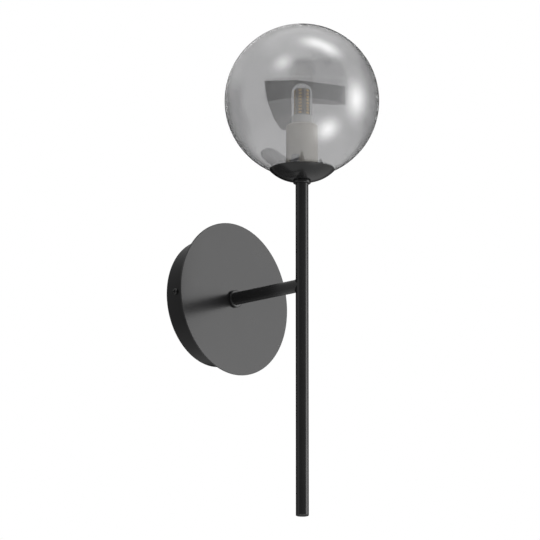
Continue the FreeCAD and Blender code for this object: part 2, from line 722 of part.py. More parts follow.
def make_globe_clip():
    """Spring-steel star: each leaf rises through the globe's mouth and hooks over its lip."""
    thick, width = number("clip_thickness"), number("clip_leaf_width")
    seat, middle = number("dish_inside"), number("dish_inside + clip_thickness / 2")
    hub, rise = number("clip_hub_diameter / 2"), number("clip_rise")
    mouth, lip = number("mouth_diameter / 2"), number("lip_height")
    upright = mouth - number("clip_mouth_gap")
    path = [(hub - number("clip_root"), middle), (hub - number("clip_bend_inset"), middle),
            (upright - number("clip_heel"), middle + rise), (upright, middle + 2 * rise),
            (upright, lip - number("clip_neck_drop")),
            (mouth + number("clip_hook_reach"), lip + number("clip_hook_low")),
            (mouth - number("clip_hook_back"), lip + number("clip_hook_high")),
            (mouth - number("clip_tip_inset"), lip + number("clip_tip_rise"))]
    points = [Vector(radius, 0, height) for radius, height in path]
    outer, inner = [], []
    for index, point in enumerate(points):
        before = points[max(index - 1, 0)]
        after = points[min(index + 1, len(points) - 1)]
        arrive = (point - before).normalize() if index else (after - point).normalize()
        leave = (after - point).normalize() if index < len(points) - 1 else arrive
        along = (arrive + leave).normalize()
        normal = Vector(along.z, 0, -along.x) * (thick / 2 / math.cos(arrive.getAngle(leave) / 2))
        outer.append(point + normal)
        inner.append(point - normal)
    outline = outer + inner[::-1]
    leaf = Part.Face(Part.makePolygon(outline + outline[:1])).extrude(Vector(0, width, 0))
    leaf.translate(Vector(0, -width / 2, 0))
    star = Part.makeCylinder(hub, thick, Vector(0, 0, seat))
    for count in range(LEAF_COUNT):
        turned_leaf = leaf.copy()
        turned_leaf.rotate(Vector(), Vector(0, 0, 1), number("clip_leaf_angle") + 360 * count / LEAF_COUNT)
        star = star.fuse(turned_leaf)
    star = star.cut(Part.makeCylinder(number("bush_bore"), thick, Vector(0, 0, seat))).removeSplitter()
    sub_part(free_form("clip", star, (0, -number("stem_out"), 0)), "globe_clip")


def make_gasket():
    """Round silicone ring that touches both the dish's inner wall and the globe."""
    gasket = doc.addObject("Part::Torus", "gasket")
    bind(gasket, {"Radius1": "gasket_circle", "Radius2": "gasket_radius"})
    place(gasket, ("0", "-stem_out", "gasket_height"))
    sub_part(gasket, "globe_gasket")


def make_globe():
    """Blown ball with a round mouth below, its cut edge melted to a smooth lip."""
    centre = ("0", "-stem_out", "globe_centre")
    balls = []
    for name, radius in (("globe_outside", "globe_radius"), ("globe_inside", "globe_radius - globe_wall")):
        ball = doc.addObject("Part::Sphere", name)
        bind(ball, {"Radius": radius})
        place(ball, centre)
        balls.append(ball)
    mouth = rod("globe_mouth", "lip_circle", "globe_radius * 2",
                ("0", "-stem_out", "globe_centre - globe_radius * 2"))
    lip = doc.addObject("Part::Torus", "globe_lip")
    bind(lip, {"Radius1": "lip_circle", "Radius2": "lip_radius"})
    place(lip, ("0", "-stem_out", "lip_height"))
    shell = cut("globe_shell", balls[0], [balls[1], mouth])
    sub_part(fuse("globe_glass", [shell, lip]), "globe")


# ------------------------------------------------------------------- lampholder
def make_lampholder():
    """Ceramic body on a steel plate, two screws from below and two U-shaped contacts."""
    outer, cavity, recess = "holder_diameter / 2", "holder_cavity_diameter / 2", "holder_recess_diameter / 2"
    blank = turned("holder_blank", [
        (recess, "holder_bottom"), (outer, "holder_bottom"), (outer, "holder_top - holder_edge"),
        (f"{outer} - holder_edge", "holder_top"), ("0", "holder_top"), ("0", "web_bottom"),
        (cavity, "web_bottom"), (cavity, "plate_top"), (recess, "plate_top")], STEM)
    plate = ring("plate_blank", f"{recess} - plate_clearance", "bush_bore", "plate_bottom", "plate_top", STEM)
    openings = [block("lamp_slot", ("holder_slot_length", "holder_slot_width", "holder_slot_depth"),
                      ("-holder_slot_length / 2", "-stem_out - holder_slot_width / 2", "slot_floor"))]
    drilled, screws, contacts = [], [], []
    bore = "holder_screw_diameter / 2 + bush_clearance"
    for side, sign in (("left", "-"), ("right", "+")):
        openings.append(rod(side + "_pin_hole", "pin_hole_diameter / 2", "holder_web",
                            (f"{sign}pin_spacing / 2", "-stem_out", "web_bottom")))
        screw_y = f"-stem_out {sign} holder_screw_circle / 2"
        openings.append(rod(side + "_tapping", bore, "holder_screw_length", ("0", screw_y, "plate_top")))
        drilled.append(rod(side + "_plate_hole", bore, "plate_thickness", ("0", screw_y, "plate_bottom")))
        head = rod(side + "_holder_head", "holder_head_diameter / 2", "holder_head_height",
                   ("0", screw_y, "plate_bottom - holder_head_height"))
        shank = rod(side + "_holder_shank", "holder_screw_diameter / 2",
                    "holder_screw_length + plate_thickness - holder_screw_short",
                    ("0", screw_y, "plate_bottom"))
        screws.append(fuse(side + "_holder_screw", [head, shank]))
        contacts.append(make_contact(side, sign))
    sub_part(cut("holder", blank, openings), "lampholder_body")
    sub_part(cut("plate", plate, drilled), "lampholder_base")
    sub_part(group("holder_screws", screws), "lampholder_screws")
    sub_part(group("contacts", contacts), "lampholder_contacts")


def make_contact(side, sign):
    """A foot over the lead's end and two leaves that grip the lamp's pin."""
    gap = "(pin_diameter / 2 + bush_clearance)"
    depth = f"2 * ({gap} + contact_thickness)"
    inner, outer = "lead_side - lead_diameter / 2", "pin_spacing / 2 + contact_width / 2"
    left_end = inner if sign == "+" else f"-({outer})"
    foot = block(side + "_foot", (f"{outer} - ({inner})", depth, "contact_thickness"),
                 (left_end, f"-stem_out - {depth} / 2", "contact_foot"))
    leaves = []
    for name, edge in (("near", f"-stem_out - {gap} - contact_thickness"), ("far", f"-stem_out + {gap}")):
        leaves.append(block(f"{side}_{name}_leaf", ("contact_width", "contact_thickness", "contact_length"),
                            (f"{sign}pin_spacing / 2 - contact_width / 2", edge, "contact_foot")))
    return fuse(side + "_contact", [foot] + leaves)


# ------------------------------------------------------------------------- lamp
def make_lamp():
    """G9 lamp: moulded base with a tongue, two pins, a faceted board, chips and a domed cover."""
    radius, inside = "lamp_diameter / 2", "lamp_diameter / 2 - lamp_cover_wall"
    waist = "lamp_diameter / 2 - lamp_base_inset"
    collar = turned("lamp_collar", [
        ("0", "lamp_bottom"), (f"{waist} - lamp_base_bevel", "lamp_bottom"),
        (waist, "lamp_bottom + lamp_bevel_rise"), (waist, "lamp_shoulder"),
        (f"{inside} - 2 * touch_gap", "lamp_shoulder"), (f"{inside} - 2 * touch_gap", "board_foot"),
        ("0", "board_foot")], STEM)
    tongue = block("lamp_tongue", ("lamp_tongue_length", "lamp_tongue_width", "lamp_tongue_depth + lamp_gap"),
                   ("-lamp_tongue_length / 2", "-stem_out - lamp_tongue_width / 2", "tongue_foot"))
    sub_part(fuse("lamp_foot", [collar, tongue]), "lamp_base")
    pins = [rod(f"pin_{index}", "pin_diameter / 2", "pin_length",
                (f"{sign}pin_spacing / 2", "-stem_out", "pin_foot"))
            for index, sign in enumerate(("-", ""), start=1)]
    sub_part(group("pins", pins), "lamp_pins")
    column = hexagon("board_column", "board_width", "board_height", ("0", "-stem_out", "board_foot"))
    hollow = hexagon("board_hollow", "board_width - 2 * board_wall", "board_height",
                     ("0", "-stem_out", "board_foot"))
    sub_part(cut("board", column, [hollow]), "lamp_board")
    make_chips()
    dome_height = "lamp_shoulder + lamp_cover_height - lamp_diameter / 2"
    shells = []
    for name, reach in (("cover_outside", radius), ("cover_inside", inside)):
        wall = rod(name + "_wall", reach, f"{dome_height} - lamp_shoulder",
                   ("0", "-stem_out", "lamp_shoulder"))
        dome = doc.addObject("Part::Sphere", name + "_dome")
        bind(dome, {"Radius": reach})
        place(dome, ("0", "-stem_out", dome_height))
        shells.append(fuse(name, [wall, dome]))
    sub_part(cut("cover", shells[0], [shells[1]]), "lamp_cover")


def make_chips():
    """Rows of light-emitting chips on each face of the board."""
    wide, tall, thick = number("chip_width"), number("chip_height"), number("chip_thickness")
    pitch, face = number("chip_pitch"), number("board_width / 2")
    middle = number("board_foot + board_height / 2")
    chips = []
    for side in range(HEX_SIDES):
        angle = (side + 0.5) * 360 / HEX_SIDES
        for row in range(CHIP_ROWS):
            height = middle + (row - (CHIP_ROWS - 1) / 2) * pitch
            chip = Part.makeBox(thick, wide, tall, Vector(face, -wide / 2, height - tall / 2))
            chip.rotate(Vector(), Vector(0, 0, 1), angle)
            chips.append(chip)
    sub_part(free_form("chips", Part.makeCompound(chips), (0, -number("stem_out"), 0)), "lamp_chips")


# --------------------------------------------------------------------- assembly
make_wall_bracket()
make_terminal_block()
make_earth_point()
make_leads()
make_canopy()
make_canopy_screws()
make_front_disc()
make_collar("arm_collar", "disc_face_out", ("0", "0", "0"), "out")
make_washer_and_nut("arm_washer", "arm_nut", "washer_diameter", "canopy_front_inside_out",
                    ("0", "0", "0"), "out", "-")
make_arm_tube()
make_stem_tube()
make_arm_weld()
make_collar("stem_collar", "dish_height - collar_thickness", STEM, "up")
make_dish()
make_globe_clip()
make_washer_and_nut("stem_washer", "stem_nut", "stem_washer_diameter", "clip_top", STEM, "up", "+")
make_gasket()
make_globe()
make_lampholder()
make_lamp()
doc.recompute()

for item in doc.Objects:
    if {"Invalid", "Error"} & set(item.State):
        raise RuntimeError(f"{item.Name} is {item.State}")
for node in NODES:
    if node.Shape.isNull() or not node.Shape.isValid() or not node.Shape.Solids:
        raise RuntimeError(f"{node.Label} has no valid solid")

os.makedirs("parts", exist_ok=True)
for node in NODES:
    node.Shape.exportStep(f"parts/{node.Label}.step")
    print(f"{node.Label}: {len(node.Shape.Solids)} solid(s), {node.Shape.Volume:.1f} mm3")
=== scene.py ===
import math

import bmesh
import bpy
import numpy as np
from mathutils import Matrix, Vector


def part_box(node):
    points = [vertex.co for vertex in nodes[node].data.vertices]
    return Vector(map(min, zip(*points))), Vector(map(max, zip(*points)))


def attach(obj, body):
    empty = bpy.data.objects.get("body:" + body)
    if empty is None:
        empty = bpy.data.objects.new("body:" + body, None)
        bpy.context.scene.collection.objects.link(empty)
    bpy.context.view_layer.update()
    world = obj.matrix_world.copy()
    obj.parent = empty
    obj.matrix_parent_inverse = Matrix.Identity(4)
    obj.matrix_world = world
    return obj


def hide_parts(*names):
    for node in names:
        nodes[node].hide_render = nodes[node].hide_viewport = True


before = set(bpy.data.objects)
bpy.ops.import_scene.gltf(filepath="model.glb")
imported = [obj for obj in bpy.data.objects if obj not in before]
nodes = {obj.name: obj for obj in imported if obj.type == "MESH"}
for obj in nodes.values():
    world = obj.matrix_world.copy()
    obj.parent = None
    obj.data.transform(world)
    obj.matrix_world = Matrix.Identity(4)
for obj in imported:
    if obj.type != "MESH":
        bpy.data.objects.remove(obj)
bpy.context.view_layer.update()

scene = bpy.context.scene
scene.view_settings.view_transform = "Standard"
MM = 0.001


# --- Camera ---------------------------------------------------------------
# A long lens five metres off, to the left of the fixture and a little below it,
# looking up at it as a person in the room does.
CAMERA_AZIMUTH = math.radians(-46.66)
CAMERA_ELEVATION = math.radians(-12.98)
CAMERA_DISTANCE = 5.0
PHOTO_SIDE = 540
FOCAL_PIXELS = 6420.92
AIM_RIGHT, AIM_UP = 0.02762, 0.02261
disc_low, disc_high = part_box("front_disc")
disc_face = Vector((0, disc_low.y, 0))
back = Vector((math.sin(CAMERA_AZIMUTH) * math.cos(CAMERA_ELEVATION),
               -math.cos(CAMERA_AZIMUTH) * math.cos(CAMERA_ELEVATION),
               math.sin(CAMERA_ELEVATION)))
right = Vector((math.cos(CAMERA_AZIMUTH), math.sin(CAMERA_AZIMUTH), 0))
up = back.cross(right)
lens = bpy.data.cameras.new("camera")
lens.sensor_width = 36
lens.lens = FOCAL_PIXELS * lens.sensor_width / PHOTO_SIDE
lens.clip_end = 50
camera = bpy.data.objects.new("camera", lens)
scene.collection.objects.link(camera)
stand = disc_face + AIM_RIGHT * right + AIM_UP * up + CAMERA_DISTANCE * back
camera.matrix_world = Matrix.Translation(stand) @ Matrix((right, up, back)).transposed().to_4x4()
scene.camera = camera


# --- Studio ---------------------------------------------------------------
# White paper behind the fixture, a dim room in front, a tall softbox on the right
# and a large one overhead. Reflections see the room, everything else plain light.
def node_of(tree, kind, **sockets):
    """A shader node with its sockets set by name, or by number as in0 and so on, and linked
    where the value is a socket itself."""
    made = tree.nodes.new(kind)
    for name, value in sockets.items():
        if name == "operation":
            made.operation = value
            continue
        socket = made.inputs[int(name[2:])] if name.startswith("in") else made.inputs[name]
        if isinstance(value, bpy.types.NodeSocket):
            tree.links.new(value, socket)
        else:
            socket.default_value = value
    return made


def calc(tree, operation, first, second=0.0):
    """One Math node; a socket or a number on each side."""
    return node_of(tree, "ShaderNodeMath", operation=operation, in0=first, in1=second).outputs[0]


world = bpy.data.worlds.new("studio")
scene.world = world
world.use_nodes = True
sky = world.node_tree
sky.nodes.clear()
direction = node_of(sky, "ShaderNodeTexCoord").outputs["Generated"]
room_side = Vector((math.sin(CAMERA_AZIMUTH), -math.cos(CAMERA_AZIMUTH), 0))
to_right = node_of(sky, "ShaderNodeVectorMath", operation="DOT_PRODUCT", in0=direction, in1=tuple(right))
to_room = node_of(sky, "ShaderNodeVectorMath", operation="DOT_PRODUCT", in0=direction, in1=tuple(room_side))
rise = node_of(sky, "ShaderNodeSeparateXYZ", Vector=direction).outputs["Z"]
DEGREES = 57.2958
sideways = calc(sky, "ARCTAN2", to_right.outputs["Value"], to_room.outputs["Value"])
turn = calc(sky, "MULTIPLY", sideways, DEGREES)
height = calc(sky, "MULTIPLY", calc(sky, "ARCSINE", rise), DEGREES)


def window(axis, low, high, soft):
    """1 between two angles in degrees and 0 outside, with an edge as wide as soft."""
    middle, half = (low + high) / 2, (high - low) / 2
    off = calc(sky, "ABSOLUTE", calc(sky, "SUBTRACT", axis, middle))
    ramp = node_of(sky, "ShaderNodeMapRange", Value=off, **{
        "From Min": half - soft / 2, "From Max": half + soft / 2, "To Min": 1.0, "To Max": 0.0})
    ramp.interpolation_type = "SMOOTHSTEP"
    return ramp.outputs[0]


def over(below, level, turns, heights, soft):
    """Lays a patch of one brightness over what is below it, between two turns and two heights."""
    mask = calc(sky, "MULTIPLY", window(turn, *turns, soft[0]), window(height, *heights, soft[1]))
    change = calc(sky, "MULTIPLY", mask, calc(sky, "SUBTRACT", level, below))
    return calc(sky, "ADD", below, change)


def lobe(below, level, at, width):
    """Adds a soft round light at a turn and a height, level exp(-(angle / width)^2 / 2)."""
    side, lift = math.radians(at[0]), math.radians(at[1])
    level_part = math.cos(lift) * (math.sin(side) * right + math.cos(side) * room_side)
    towards = tuple(level_part + Vector((0, 0, math.sin(lift))))
    near = node_of(sky, "ShaderNodeVectorMath", operation="DOT_PRODUCT", in0=direction, in1=towards)
    sharpness = 1 / math.radians(width) ** 2
    power = calc(sky, "MULTIPLY", calc(sky, "SUBTRACT", near.outputs["Value"], 1.0), sharpness)
    return calc(sky, "ADD", below, calc(sky, "MULTIPLY", calc(sky, "EXPONENT", power), level))


# The sweep is the brightness where nothing else lies. Patches: brightness, turns and
# heights from the camera's side (right is +), softness of the edges in each. Lobes:
# brightness, turn and height, width. Angles are in degrees.
SWEEP = 0.45
ALL_ROUND = (-400, 400)
PATCHES = [
    (0.80, ALL_ROUND, (54, 120), (1, 22)),
    (0.60, ALL_ROUND, (-120, -34), (1, 16)),
    (0.12, (-14, 74), (21, 50), (16, 10)),
    (0.10, (-57, 72), (-10, 21), (2, 3)),
    (0.0, (-400, -100), (-24, 18), (24, 24)),
    (0.05, (116, 400), (-15, 36), (30, 20)),
]
LOBES = [
    (3.6, (88, 1), 12),
    (2.4, (69, 77.6), 8),
    (2.3, (78, 61.5), 8),
    (2.0, (-35, 44), 8),
    (3.6, (60, -48), 10),
]
mirror_view = SWEEP
for patch in PATCHES:
    mirror_view = over(mirror_view, *patch)
for light in LOBES:
    mirror_view = lobe(mirror_view, *light)
ROOM_LIGHT = 0.4
WHITE = (1, 1, 1, 1)
rays = node_of(sky, "ShaderNodeLightPath").outputs
seen_white = calc(sky, "MAXIMUM", rays["Is Camera Ray"], rays["Is Transmission Ray"])
plain, white, mirrored = [node_of(sky, "ShaderNodeBackground", Color=WHITE, Strength=strength).outputs[0]
                          for strength in (ROOM_LIGHT, 1.0, mirror_view)]
mix = node_of(sky, "ShaderNodeMixShader", in0=rays["Is Glossy Ray"], in1=plain, in2=mirrored).outputs[0]
mix = node_of(sky, "ShaderNodeMixShader", in0=seen_white, in1=mix, in2=white).outputs[0]
node_of(sky, "ShaderNodeOutputWorld", Surface=mix)


def lamp(name, place, size, watts):
    """A soft rectangular lamp aimed at the fixture; the studio above shows its reflection."""
    light = bpy.data.lights.new(name, "AREA")
    light.shape = "RECTANGLE"
    light.size, light.size_y = size
    light.energy = watts
    holder = bpy.data.objects.new(name, light)
    scene.collection.objects.link(holder)
    holder.location = place
    holder.rotation_euler = (-Vector(place)).to_track_quat("-Z", "Y").to_euler()
    holder.visible_glossy = False
    holder.visible_transmission = False
    holder.visible_camera = False


lamp("right_softbox", right * 1.3 + Vector((0, -0.35, 0.15)), (0.5, 1.3), 9)
lamp("overhead_softbox", Vector((-0.1, -0.9, 1.5)), (1.1, 0.8), 10)
lamp("front_fill", Vector((-0.9, -1.6, 0.2)), (1.2, 1.2), 2.5)


def sheet(name, corners, shade):
    """A flat sheet through its corners that isn't part of the object."""
    mesh = bpy.data.meshes.new(name)
    mesh.from_pydata([tuple(corner) for corner in corners], [], [tuple(range(len(corners)))])
    made = bpy.data.objects.new(name, mesh)
    scene.collection.objects.link(made)
    paint = bpy.data.materials.new(name + "_paper")
    paint.use_nodes = True
    shader = paint.node_tree.nodes["Principled BSDF"]
    shader.inputs["Base Color"].default_value = (shade, shade, shade, 1)
    shader.inputs["Roughness"].default_value = 0.9
    mesh.materials.append(paint)
    made.visible_glossy = False
    return made, paint.node_tree, shader


FLOOR_DROP = 2.3
FLOOR_REACH = 3.0
FLOOR_SHADE = 0.86
floor, _, _ = sheet("floor", [(x * FLOOR_REACH, y * FLOOR_REACH, -FLOOR_DROP)
                              for x, y in ((-1, -1), (1, -1), (1, 1), (-1, 1))], FLOOR_SHADE)
floor.visible_transmission = False

# A grey card behind the globe, seen only through the glass: a painted reflection of
# the dark room, a faint glow that is darker on its left. It is so many metres behind the globe's centre,
# and its outline and the width of its fade are in globe radii, to the right of and above that centre.
CARD_BEYOND = 0.25
CARD_OUTLINE = [(-0.57, 0.3), (-0.09, 0.305), (0.05, 0.29), (0.3, 0.26), (0.66, 0.22), (0.66, -0.06),
                (0.45, -0.06), (0.15, -0.04), (-0.02, -0.15), (-0.2, -0.45), (-0.31, -0.43),
                (-0.41, -0.28), (-0.5, -0.05)]
CARD_LEFT, CARD_RIGHT, CARD_FADE = 0.0, 0.34, 0.4
globe_low, globe_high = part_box("globe")
GLOBE_RADIUS = (globe_high.x - globe_low.x) / 2
globe_middle = Vector((0, (globe_low.y + globe_high.y) / 2, globe_high.z - GLOBE_RADIUS))
beyond = globe_middle + CARD_BEYOND * (globe_middle - camera.matrix_world.translation).normalized()
card, card_tree, card_shader = sheet("dark_card", [beyond + GLOBE_RADIUS * (x * right + y * up)
                                                   for x, y in CARD_OUTLINE], 0.0)
card.visible_camera = card.visible_diffuse = card.visible_shadow = False
# Its emission is the painted reflection: the room's image in the glass, glowing from 0 on the left to
# CARD_RIGHT on the right.
card_shader.inputs["Emission Color"].default_value = WHITE
place = node_of(card_tree, "ShaderNodeTexCoord").outputs["Object"]
across = node_of(card_tree, "ShaderNodeVectorMath", operation="DOT_PRODUCT", in0=place, in1=tuple(right))
middle = beyond.dot(right)
shade = node_of(card_tree, "ShaderNodeMapRange", Value=across.outputs["Value"], **{
    "From Min": middle - CARD_FADE * GLOBE_RADIUS, "From Max": middle + CARD_FADE * GLOBE_RADIUS,
    "To Min": CARD_LEFT, "To Max": CARD_RIGHT})
card_tree.links.new(shade.outputs[0], card_shader.inputs["Emission Strength"])


# --- Black powder coat ------------------------------------------------------
# Every part of the body is steel with a satin black powder coat: fine orange
# peel, a slight unevenness of gloss and a trace of dust on the flats.
def finish(name, color, roughness, metallic=0.0, specular=0.5):
    """A material, its node tree, its Principled shader and its Object coordinates."""
    made = bpy.data.materials.new(name)
    made.use_nodes = True
    tree = made.node_tree
    shader = tree.nodes["Principled BSDF"]
    shader.inputs["Base Color"].default_value = (*color, 1)
    shader.inputs["Roughness"].default_value = roughness
    shader.inputs["Metallic"].default_value = metallic
    shader.inputs["Specular IOR Level"].default_value = specular
    place = node_of(tree, "ShaderNodeTexCoord").outputs["Object"]
    return made, tree, shader, place


def speckle(tree, place, scale, detail):
    """Noise value on Object coordinates, scale in cycles a metre."""
    return node_of(tree, "ShaderNodeTexNoise", Vector=place, Scale=scale, Detail=detail).outputs["Fac"]


def spread(tree, value, low, high):
    """Carries a 0 to 1 value to the range low to high."""
    return node_of(tree, "ShaderNodeMapRange", Value=value, **{"To Min": low, "To Max": high}).outputs[0]


def two_tone(tree, value, first, second):
    """A colour between two, by a 0 to 1 value."""
    ramp = tree.nodes.new("ShaderNodeMix")
    ramp.data_type = "RGBA"
    tree.links.new(value, ramp.inputs["Factor"])
    ramp.inputs["A"].default_value = (*first, 1)
    ramp.inputs["B"].default_value = (*second, 1)
    return ramp.outputs["Result"]


def relief(tree, shader, value, depth):
    """Bump from a 0 to 1 value, depth in metres."""
    bump = node_of(tree, "ShaderNodeBump", Height=value, Strength=1.0, Distance=depth)
    tree.links.new(bump.outputs["Normal"], shader.inputs["Normal"])


def powder_coat(name="black_powder_coat", specular=0.5):
    made, tree, shader, place = finish(name, (0.02, 0.02, 0.0205), 0.22, specular=specular)
    peel = speckle(tree, place, 1500, 2)
    cloud = speckle(tree, place, 35, 4)
    tree.links.new(two_tone(tree, cloud, (0.017, 0.017, 0.0175), (0.023, 0.023, 0.0235)),
                   shader.inputs["Base Color"])
    tree.links.new(spread(tree, cloud, 0.18, 0.26), shader.inputs["Roughness"])
    relief(tree, shader, peel, 0.000006)
    return made


black = powder_coat()


# --- Canopy ---------------------------------------------------------------
# Spun steel cup, 1 mm thick, its front edge turned over a small radius; the
# wall side is open and the arm's tube passes through its middle.
MERGE_DISTANCE, SLIVER_LENGTH = 1e-7, 1e-8
SHARP_ANGLE = math.radians(30)


def surface(name, points, material, caps=()):
    """A mesh from a grid of points (rows, columns, 3) whose columns close on themselves, with
    merged poles, faces outwards and smooth shading up to the sharp angle."""
    rows, columns = points.shape[:2]
    index = np.arange(rows * columns).reshape(rows, columns)
    following = np.roll(index, -1, axis=1)
    quads = np.stack([index[:-1], following[:-1], following[1:], index[1:]], axis=-1).reshape(-1, 4)
    faces = quads.tolist() + [index[row].tolist() for row in caps]
    mesh = bpy.data.meshes.new(name)
    mesh.from_pydata(points.reshape(-1, 3).tolist(), [], faces)
    work = bmesh.new()
    work.from_mesh(mesh)
    bmesh.ops.remove_doubles(work, verts=work.verts, dist=MERGE_DISTANCE)
    bmesh.ops.dissolve_degenerate(work, edges=work.edges, dist=SLIVER_LENGTH)
    bmesh.ops.recalc_face_normals(work, faces=work.faces)
    work.to_mesh(mesh)
    work.free()
    mesh.shade_smooth()
    mesh.set_sharp_from_angle(angle=SHARP_ANGLE)
    mesh.materials.append(material)
    made = bpy.data.objects.new(name, mesh)
    scene.collection.objects.link(made)
    return made


def arc(centre, radius, start, end, count=8):
    """Points (radius, height) on an arc, angles in degrees from the outward direction."""
    angle = np.radians(np.linspace(start, end, count))
    return np.stack([centre[0] + radius * np.cos(angle), centre[1] + radius * np.sin(angle)], axis=1)


def lathe(name, profile, axis_at, towards, sectors, material):
    """Spins a closed profile of (radius, distance) in mm about the stem's or the arm's axis."""
    profile = np.concatenate([np.atleast_2d(part) for part in profile]) * MM
    profile = np.vstack([profile, profile[:1]])
    angle = np.linspace(0, 2 * np.pi, sectors, endpoint=False)
    across, along = profile[:, :1] * np.cos(angle), profile[:, :1] * np.sin(angle)
    distance = np.repeat(profile[:, 1:], sectors, axis=1)
    if towards == "up":
        points = np.stack([across, along, distance], axis=-1)
    else:
        points = np.stack([across, -distance, along], axis=-1)
    return surface(name, points + np.array(axis_at), material)


def stands_for(made, node, body="fixture"):
    """Carries a finished piece on its body, in its finish, in place of a CAD node."""
    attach(made, body)
    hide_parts(node)


canopy_low, canopy_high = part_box("canopy")
CANOPY_RADIUS = canopy_high.z / MM
CANOPY_DEPTH = -canopy_low.y / MM
CANOPY_WALL, CANOPY_EDGE, REAR_EDGE, TUBE_HOLE = 1.0, 0.9, 0.25, 5.2
HOLD = 0.1  # a ring this far inside a rounded edge keeps the flat's shading flat
canopy = lathe("canopy_shell", [
    [(TUBE_HOLE, CANOPY_DEPTH), (CANOPY_RADIUS - CANOPY_EDGE - HOLD, CANOPY_DEPTH)],
    arc((CANOPY_RADIUS - CANOPY_EDGE, CANOPY_DEPTH - CANOPY_EDGE), CANOPY_EDGE, 90, 0),
    [(CANOPY_RADIUS, CANOPY_DEPTH - CANOPY_EDGE - HOLD), (CANOPY_RADIUS, REAR_EDGE + HOLD)],
    arc((CANOPY_RADIUS - REAR_EDGE, REAR_EDGE), REAR_EDGE, 0, -90, 4),
    [(CANOPY_RADIUS - CANOPY_WALL, 0)],
    [(CANOPY_RADIUS - CANOPY_WALL, CANOPY_DEPTH - CANOPY_WALL)],
    [(TUBE_HOLE, CANOPY_DEPTH - CANOPY_WALL)]], (0, 0, 0), "out", 192, powder_coat("canopy_coat", 0.2))
stands_for(canopy, "canopy")
nodes["canopy_screws"].data.materials[0] = black


# --- Front disc -------------------------------------------------------------
# Laser-cut plate, 1.2 mm, its edge broken to a fine round that catches the light.
DISC_RADIUS = disc_high.z / MM
DISC_FRONT, DISC_BACK = -disc_low.y / MM, -disc_high.y / MM
DISC_EDGE = 0.35
disc = lathe("front_disc_plate", [
    [(TUBE_HOLE, DISC_FRONT), (DISC_RADIUS - DISC_EDGE - HOLD, DISC_FRONT)],
    arc((DISC_RADIUS - DISC_EDGE, DISC_FRONT - DISC_EDGE), DISC_EDGE, 90, 0, 6),
    arc((DISC_RADIUS - DISC_EDGE, DISC_BACK + DISC_EDGE), DISC_EDGE, 0, -90, 6),
    [(DISC_RADIUS - DISC_EDGE - HOLD, DISC_BACK), (TUBE_HOLE, DISC_BACK)]], (0, 0, 0), "out", 224, black)
stands_for(disc, "front_disc")


# --- Arm, collars and weld ----------------------------------------------------
# 10 mm tube from the canopy to the stem, with a turned collar at the disc and a
# braze fillet round the joint with the stem.
stem_low, stem_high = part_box("stem_tube")
STEM_OUT = -(stem_low.y + stem_high.y) / 2 / MM
STEM_AXIS = (0, -STEM_OUT * MM, 0)
TUBE_RADIUS, TUBE_BORE = 5.0, 4.0
TUBE_SECTORS = 96
ARM_END = -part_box("arm_tube")[1].y / MM


def arm_surface():
    """Outer and inner walls of the arm, each running to the stem's own cylinder:
    at angle t round the arm the outer wall ends at stem_out - R |cos t|."""
    angle = np.linspace(0, 2 * np.pi, TUBE_SECTORS, endpoint=False)
    rings = []
    for radius, share in ((TUBE_RADIUS, 0.0), (TUBE_RADIUS, 1.0), (TUBE_BORE, 1.0), (TUBE_BORE, 0.0),
                          (TUBE_RADIUS, 0.0)):
        finish_at = STEM_OUT - np.sqrt(np.maximum(TUBE_RADIUS ** 2 - (radius * np.cos(angle)) ** 2, 0))
        out = ARM_END + share * (finish_at - ARM_END)
        rings.append(np.stack([radius * np.cos(angle), -out, radius * np.sin(angle)], axis=-1))
    return np.array(rings) * MM


arm = surface("arm_tube_wall", arm_surface(), black)
stands_for(arm, "arm_tube")

COLLAR_RADIUS, COLLAR_LENGTH, COLLAR_ROUND, COLLAR_BORE = 6.8, 2.4, 0.6, 5.05


def collar(name, node, start, axis_at, towards):
    """Turned ring with both outer edges rounded."""
    middle = COLLAR_RADIUS - COLLAR_ROUND
    made = lathe(name, [
        [(COLLAR_BORE, start)],
        arc((middle, start + COLLAR_ROUND), COLLAR_ROUND, -90, 0),
        arc((middle, start + COLLAR_LENGTH - COLLAR_ROUND), COLLAR_ROUND, 0, 90),
        [(COLLAR_BORE, start + COLLAR_LENGTH)]], axis_at, towards, TUBE_SECTORS, black)
    stands_for(made, node)


collar("arm_collar_ring", "arm_collar", DISC_FRONT, (0, 0, 0), "out")
collar("stem_collar_ring", "stem_collar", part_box("stem_collar")[0].z / MM, STEM_AXIS, "up")

WELD_LEG, WELD_SINK, WELD_BURY, WELD_END = 1.8, 0.04, 0.3, 84
WELD_ROWS, FACE_STEPS = 49, 9


def weld_surface(side):
    """Concave fillet between arm and stem: at angle t its corner is at R cos t, its leg is
    leg cos t and its face is a quarter arc tangent to both tubes. Its back is buried in them."""
    angle = np.radians(np.linspace(-WELD_END, WELD_END, WELD_ROWS))[:, None]
    corner, leg = TUBE_RADIUS * np.cos(angle) - WELD_SINK, WELD_LEG * np.cos(angle)
    sweep = np.radians(np.linspace(180, 270, FACE_STEPS))[None, :]
    out = corner + leg + leg * np.cos(sweep)
    rise = corner + leg + leg * np.sin(sweep)
    out = np.concatenate([out, corner - WELD_BURY], axis=1)
    rise = np.concatenate([rise, corner - WELD_BURY], axis=1)
    across = np.repeat(TUBE_RADIUS * np.sin(angle), out.shape[1], axis=1)
    return np.stack([across, out - STEM_OUT, side * rise], axis=-1) * MM


for side, word in ((1, "upper"), (-1, "lower")):
    bead = surface(f"weld_{word}", weld_surface(side), black, caps=(0, -1))
    stands_for(bead, "arm_weld")


